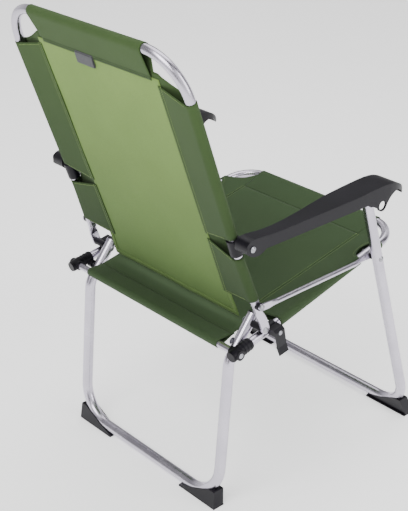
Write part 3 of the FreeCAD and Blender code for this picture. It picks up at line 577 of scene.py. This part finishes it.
def make_seat_sling(size):
    def panel_half(s):
        return knots([(0.262, SEAM_X), (0.282, SEAT_REAR_X)], s)

    def panel(a, b):
        s = lerp(SEAT_BAND_S, SEAT_LOOP_S, b)
        half = panel_half(s)
        x = lerp(-half, half, a)
        inside = (1 - min(1.0, abs(x) / SEAM_X) ** 2) * math.sin(math.pi * b)
        return seat_at(x, s, LAYER + inside * (0.0010 * noisy(x, s, 3) - 0.0035)), (x, s)

    main = cloth_patch("seat_panel", 60, 80, panel, "seat_cloth", "seat",
                       size)
    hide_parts("seat_sling")

    for side, word in ((-1.0, "right"), (1.0, "left")):
        def place(a, b):
            return sleeve_place(side, seat_sleeve_edges, seat_tube_x, seat_at, -1.0, 0.0,
                                a, b, SEAT_ROWS, (SEAT_BAND_S, SEAT_FRONT_S))

        def keep(a, b):
            return not SEAT_ROWS[1] < b < SEAT_ROWS[2]

        cloth_patch("seat_sleeve_" + word, 60, 60, place, "seat_cloth", "seat",
                    size, keep)

    front = wrap_profile(SEAT_BAND_S, SEAT_FRONT_S, SLEEVE_R, 0.008, LAYER, 0.0)

    def band(a, b):
        (s, w), along = walk(front, b)
        near = min(1.0, max(0.0, (-0.032 - s) / (-0.032 - SEAT_FRONT_S)))
        half = lerp(SEAM_X, 0.160, near) if b < 0.5 else SEAM_X
        x = lerp(-half, half, a)
        return seat_at(x, s, -w), (x, along)

    cloth_patch("seat_front_band", 60, 44, band, "seat_cloth", "seat", size)

    rear = wrap_profile(SEAT_LOOP_S, SEAT_CROSS_S, LOOP_R, 0.008, LAYER, 0.0)

    def loop(a, b):
        (s, w), along = walk(rear, b)
        x = lerp(-SEAT_REAR_X, SEAT_REAR_X, a)
        return seat_at(x, s, -w), (x, along)

    cloth_patch("seat_rear_loop", 60, 40, loop, "seat_cloth", "seat", size)

    out = seat_at(0, 0, 1) - seat_at(0, 0, 0)
    lines = []
    for side in (-1.0, 1.0):
        for x in (0.1640, 0.1700):
            lift = 0.0019 if x < SEAM_X else 0.0021
            lines.append(([seat_at(side * x, lerp(SEAT_BAND_S, 0.268, i / 30), lift)
                           for i in range(31)], out))
        lines.append(([seat_at(side * 0.1905, lerp(0.285, 0.345, i / 6), 0.0009)
                       for i in range(7)], out))
        round_cut = []
        for i in range(17):
            angle = math.pi * i / 16
            reach = 0.96 - 0.27 * math.sin(angle)
            s = 0.003 - 0.0315 * math.cos(angle)
            x = lerp(SEAM_X, seat_tube_x(s), reach)
            round_cut.append(seat_at(side * x, s, 0.0020 + 0.0088 * reach))
        lines.append((round_cut, out))
    dark = [([seat_at(lerp(-0.194, 0.194, i / 30), s, 0.0020) for i in range(31)], out)
            for s in (0.3440, 0.3480)]
    stitches("seat_stitching", lines, "thread_light", "seat", width=0.0006, height=0.0004)
    stitches("seat_loop_stitching", dark, "thread_dark", "seat")


# ---------------------------------------------------------------- mouldings and metal
MOULDINGS = {
    "armrest_right": 0.0016, "armrest_left": 0.0016,
    "armrest_clamp_right": 0.0008, "armrest_clamp_left": 0.0008,
    "front_foot_right": 0.0012, "front_foot_left": 0.0012,
    "rear_foot_right": 0.0012, "rear_foot_left": 0.0012,
    "rear_fitting_right": 0.0008, "rear_fitting_left": 0.0008,
    "transport_clip_right": 0.0007, "transport_clip_left": 0.0007,
}


def body_of(node):
    for body, members in frame["record"]["behaviour"]["bodies"].items():
        if node in members:
            return body
    raise RuntimeError(node + " is on no body")


def make_mouldings(scale):
    for node, edge in MOULDINGS.items():
        moulded(node, body_of(node), edge * scale)


def finish_metal():
    """Gives every CAD solid the finish of its slot."""
    slots = {part["node"]: part["material_slot"] for part in frame["record"]["subparts"]}
    finishes = {"tube_aluminium": "aluminium", "rivet_steel": "rivet", "black_plastic": "plastic",
                "green_cloth": "seat_cloth", "label_webbing": "webbing"}
    for name, node in frame["nodes"].items():
        node.data.materials.clear()
        node.data.materials.append(material(finishes[slots[name]]))


# ---------------------------------------------------------------- studio
def soft_light(name, at, towards, size, watts):
    light = bpy.data.lights.new(name, "AREA")
    light.shape = "RECTANGLE"
    light.size, light.size_y = size
    light.energy = watts
    lamp = bpy.data.objects.new(name, light)
    lamp.location = at
    lamp.rotation_euler = (Vector(towards) - Vector(at)).to_track_quat("-Z", "Y").to_euler()
    bpy.context.scene.collection.objects.link(lamp)
    return lamp


def make_stage(lens, key_watts):
    bm = bmesh.new()
    bmesh.ops.create_grid(bm, x_segments=2, y_segments=2, size=6.0)
    mesh = bpy.data.meshes.new("studio_floor")
    bm.to_mesh(mesh)
    bm.free()
    floor = bpy.data.objects.new("studio_floor", mesh)
    bpy.context.scene.collection.objects.link(floor)
    pale, tree, shader = tidy_tree("studio_floor")
    coords = add(tree, "ShaderNodeTexCoord").outputs["Object"]
    tone = ramp(tree, noise(tree, coords, 3.0), [(0.3, 0.93), (0.7, 0.95)])
    tree.links.new(tone, shader.inputs["Base Color"])
    shader.inputs["Roughness"].default_value = 0.9
    shader.inputs["Emission Color"].default_value = (1.0, 1.0, 1.0, 1.0)
    shader.inputs["Emission Strength"].default_value = 0.75
    mesh.materials.append(pale)

    middle = (0.0, 0.0, 0.45)
    soft_light("key_light", (-0.6, 2.2, 2.6), middle, (1.8, 1.8), key_watts)
    soft_light("side_light", (-2.6, -0.6, 1.8), middle, (1.6, 2.2),
                        key_watts * 0.55)
    soft_light("top_light", (0.6, -0.8, 3.0), middle, (2.4, 2.4), key_watts * 0.6)

    world = bpy.data.worlds.new("studio")
    world.use_nodes = True
    tree = world.node_tree
    split = add(tree, "ShaderNodeSeparateXYZ")
    tree.links.new(add(tree, "ShaderNodeTexCoord").outputs["Generated"], split.inputs[0])
    across = add(tree, "ShaderNodeMath", operation="MULTIPLY_ADD")
    tree.links.new(split.outputs["X"], across.inputs[0])
    across.inputs[1].default_value = 0.5
    across.inputs[2].default_value = 0.5
    bands = ramp(tree, across.outputs[0],
                 [(0.0, 1.3), (0.16, 1.1), (0.24, 0.05), (0.34, 0.12), (0.44, 1.2),
                  (0.60, 1.2), (0.72, 0.25), (0.86, 0.35), (1.0, 1.2)])
    tree.links.new(bands, tree.nodes["Background"].inputs["Color"])
    tree.nodes["Background"].inputs["Strength"].default_value = 1.0
    bpy.context.scene.world = world

    data = bpy.data.cameras.new("studio_camera")
    data.lens = lens
    data.sensor_width = 36.0
    data.sensor_fit = "HORIZONTAL"
    data.shift_x = -0.0052
    data.shift_y = -0.0079
    camera = bpy.data.objects.new("studio_camera", data)
    camera.location = (-1.5601, 1.4669, 1.4800)
    camera.rotation_euler = Vector((0.6616, -0.6018, -0.4473)).to_track_quat("-Z", "Y").to_euler()
    bpy.context.scene.collection.objects.link(camera)
    bpy.context.scene.camera = camera


# ---------------------------------------------------------------- add-on
class ClothSizes(bpy.types.PropertyGroup):
    """Sizes shared by every cut of cloth."""
    thickness: bpy.props.FloatProperty(
        name="Cloth thickness", description="Thickness of one layer of the sling cloth",
        default=0.0008, unit="LENGTH")
    tape: bpy.props.FloatProperty(
        name="Tape thickness", description="Thickness of the label tape",
        default=0.0009, unit="LENGTH")


class MouldingSizes(bpy.types.PropertyGroup):
    """Finish of the black mouldings."""
    rounding: bpy.props.FloatProperty(
        name="Edge rounding", description="Share of each moulding's usual edge radius",
        default=1.0, subtype="FACTOR")


class StudioSizes(bpy.types.PropertyGroup):
    """Lens and light of the studio."""
    lens: bpy.props.FloatProperty(
        name="Lens", description="Focal length of the studio camera in millimetres",
        default=103.68, unit="CAMERA")
    key_watts: bpy.props.FloatProperty(
        name="Key light", description="Power of the main soft light",
        default=66.0, unit="POWER")


class CAMPCHAIR_OT_back_sling(bpy.types.Operator):
    """Make the back sling with its panel, top band, sleeves, hems and stitching"""
    bl_idname = "campchair.back_sling"
    bl_label = "Back Sling"

    def execute(self, context):
        make_back_sling(context.scene.campchair_cloth.thickness)
        return {"FINISHED"}


class CAMPCHAIR_OT_back_label(bpy.types.Operator):
    """Make the plain tape loop sewn under the top band"""
    bl_idname = "campchair.back_label"
    bl_label = "Back Label"

    def execute(self, context):
        make_back_label(context.scene.campchair_cloth.tape)
        return {"FINISHED"}


class CAMPCHAIR_OT_seat_sling(bpy.types.Operator):
    """Make the seat sling with its panel, front band, sleeves, rear loop and stitching"""
    bl_idname = "campchair.seat_sling"
    bl_label = "Seat Sling"

    def execute(self, context):
        make_seat_sling(context.scene.campchair_cloth.thickness)
        return {"FINISHED"}


class CAMPCHAIR_OT_mouldings(bpy.types.Operator):
    """Round the edges of the armrests, clamps, feet, fittings and clips"""
    bl_idname = "campchair.mouldings"
    bl_label = "Mouldings"

    def execute(self, context):
        make_mouldings(context.scene.campchair_moulding.rounding)
        return {"FINISHED"}


class CAMPCHAIR_OT_metal(bpy.types.Operator):
    """Finish the tubes, rods, rivets and pins"""
    bl_idname = "campchair.metal"
    bl_label = "Metal Finishes"

    def execute(self, context):
        finish_metal()
        return {"FINISHED"}


class CAMPCHAIR_OT_stage(bpy.types.Operator):
    """Set the floor, lights, world and camera"""
    bl_idname = "campchair.stage"
    bl_label = "Studio"

    def execute(self, context):
        studio = context.scene.campchair_studio
        make_stage(studio.lens, studio.key_watts)
        return {"FINISHED"}


OPERATORS = (CAMPCHAIR_OT_metal, CAMPCHAIR_OT_mouldings, CAMPCHAIR_OT_back_sling,
             CAMPCHAIR_OT_back_label, CAMPCHAIR_OT_seat_sling, CAMPCHAIR_OT_stage)


class CAMPCHAIR_PT_panel(bpy.types.Panel):
    """Lists the sizes and the making of each group of pieces"""
    bl_label = "Camp Chair"
    bl_idname = "CAMPCHAIR_PT_panel"
    bl_space_type = "VIEW_3D"
    bl_region_type = "UI"
    bl_category = "Camp Chair"

    def draw(self, context):
        scene = context.scene
        self.layout.prop(scene.campchair_cloth, "thickness")
        self.layout.prop(scene.campchair_cloth, "tape")
        self.layout.prop(scene.campchair_moulding, "rounding")
        self.layout.prop(scene.campchair_studio, "lens")
        self.layout.prop(scene.campchair_studio, "key_watts")
        for operator in OPERATORS:
            self.layout.operator(operator.bl_idname)


CLASSES = (ClothSizes, MouldingSizes, StudioSizes, *OPERATORS, CAMPCHAIR_PT_panel)


def register():
    for cls in CLASSES:
        bpy.utils.register_class(cls)
    bpy.types.Scene.campchair_cloth = bpy.props.PointerProperty(type=ClothSizes)
    bpy.types.Scene.campchair_moulding = bpy.props.PointerProperty(type=MouldingSizes)
    bpy.types.Scene.campchair_studio = bpy.props.PointerProperty(type=StudioSizes)


def unregister():
    del bpy.types.Scene.campchair_studio
    del bpy.types.Scene.campchair_moulding
    del bpy.types.Scene.campchair_cloth
    for cls in reversed(CLASSES):
        bpy.utils.unregister_class(cls)


def main():
    register()
    for operator in OPERATORS:
        group, name = operator.bl_idname.split(".")
        getattr(getattr(bpy.ops, group), name)()
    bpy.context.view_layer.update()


if __name__ == "__main__":
    main()
